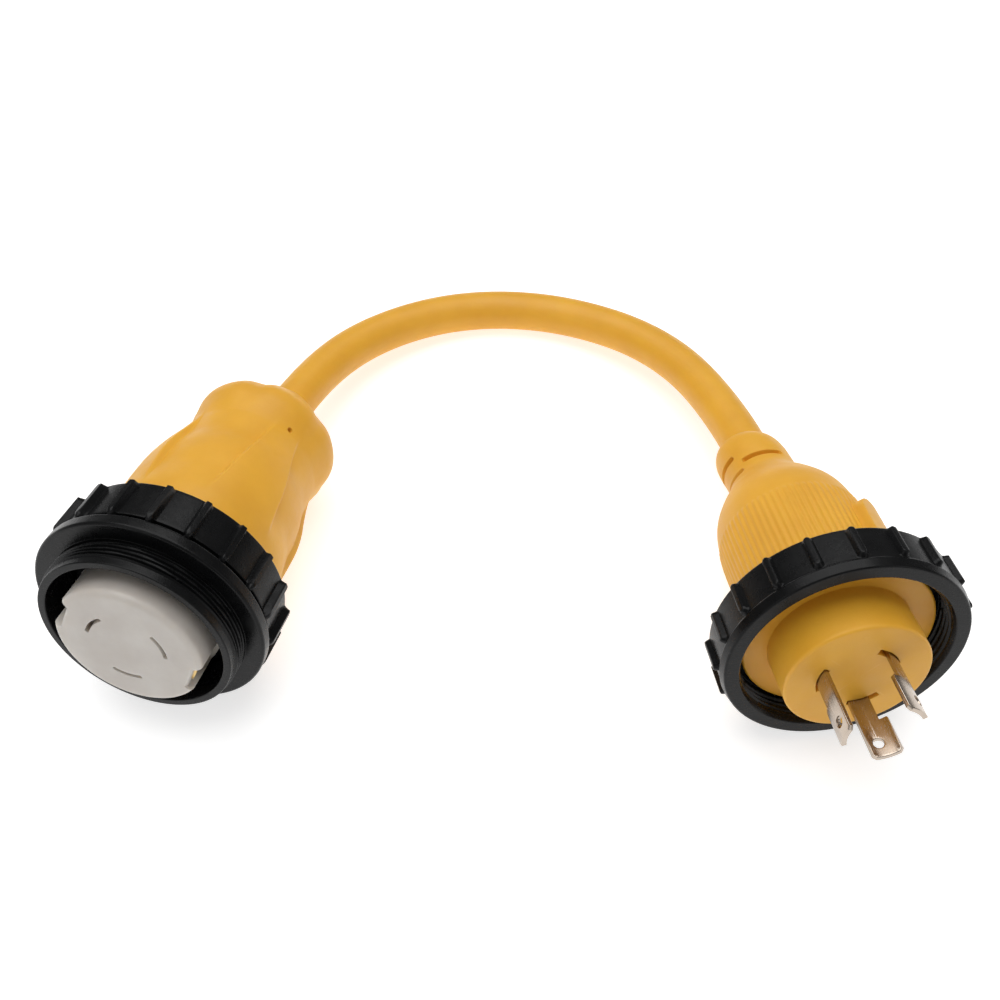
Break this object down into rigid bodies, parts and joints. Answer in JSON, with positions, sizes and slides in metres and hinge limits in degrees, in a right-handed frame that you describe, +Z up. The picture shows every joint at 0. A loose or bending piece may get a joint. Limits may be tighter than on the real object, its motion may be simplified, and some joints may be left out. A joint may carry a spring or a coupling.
{
  "type": "power adapter dogbone",
  "caption": "Short thick yellow power cord between a locking plug with curved blades and a locking connector with arc slots, each with a black ribbed ring.",
  "frame": {"origin": "bottom centre of the box around both heads, on the surface that the adapter rests on; the cord is left out", "axes": "+Z up, both heads face towards -Y and lean back, +X from the connector head to the plug head"},
  "size_m": [0.2842, 0.2275, 0.0791],
  "materials": {
    "plug_body": "satin yellow vinyl",
    "plug_insert": "satin yellow nylon",
    "connector_body": "satin yellow vinyl",
    "cord_jacket": "satin yellow vinyl jacket",
    "premould": "plain moulded",
    "carrier": "smooth white nylon",
    "cover": "smooth white nylon",
    "screws": "zinc plated",
    "contacts": "bare brass",
    "blades": "nickel plated",
    "male_ring": "gloss black nylon",
    "female_ring": "gloss black nylon",
    "insulation_black": "vinyl insulation",
    "insulation_white": "vinyl insulation",
    "insulation_green": "vinyl insulation"
  },
  "bodies": {
    "adapter": {"male_overmold": "plug_body", "male_insert": "plug_insert", "male_blade_hot": "blades", "male_blade_neutral": "blades", "male_blade_ground": "blades", "male_wire_hot": "insulation_black", "male_wire_neutral": "insulation_white", "male_wire_ground": "insulation_green", "power_cord": "cord_jacket", "female_overmold": "connector_body", "female_inner_mold": "premould", "female_contact_carrier": "carrier", "female_carrier_cover": "cover", "female_cover_screws": "screws", "female_contact_hot_x": "contacts", "female_contact_hot_y": "contacts", "female_contact_neutral": "contacts", "female_ground_contact": "contacts", "female_hot_jumper": "contacts", "female_wire_hot": "insulation_black", "female_wire_neutral": "insulation_white", "female_wire_ground": "insulation_green"},
    "female_ring": {"female_lock_ring": "female_ring"},
    "male_ring": {"male_lock_ring": "male_ring"}
  },
  "joints": [
    {"name": "female_ring_spin", "type": "hinge", "parent": "adapter", "child": "female_ring", "pos_m": [-0.10157, -0.01511, 0.03781], "axis": [-0.2398, -0.9548, 0.1754], "continuous": true},
    {"name": "male_ring_spin", "type": "hinge", "parent": "adapter", "child": "male_ring", "pos_m": [0.1022, -0.03329, 0.03895], "axis": [0.1217, -0.977, 0.1754], "continuous": true}
  ]
}
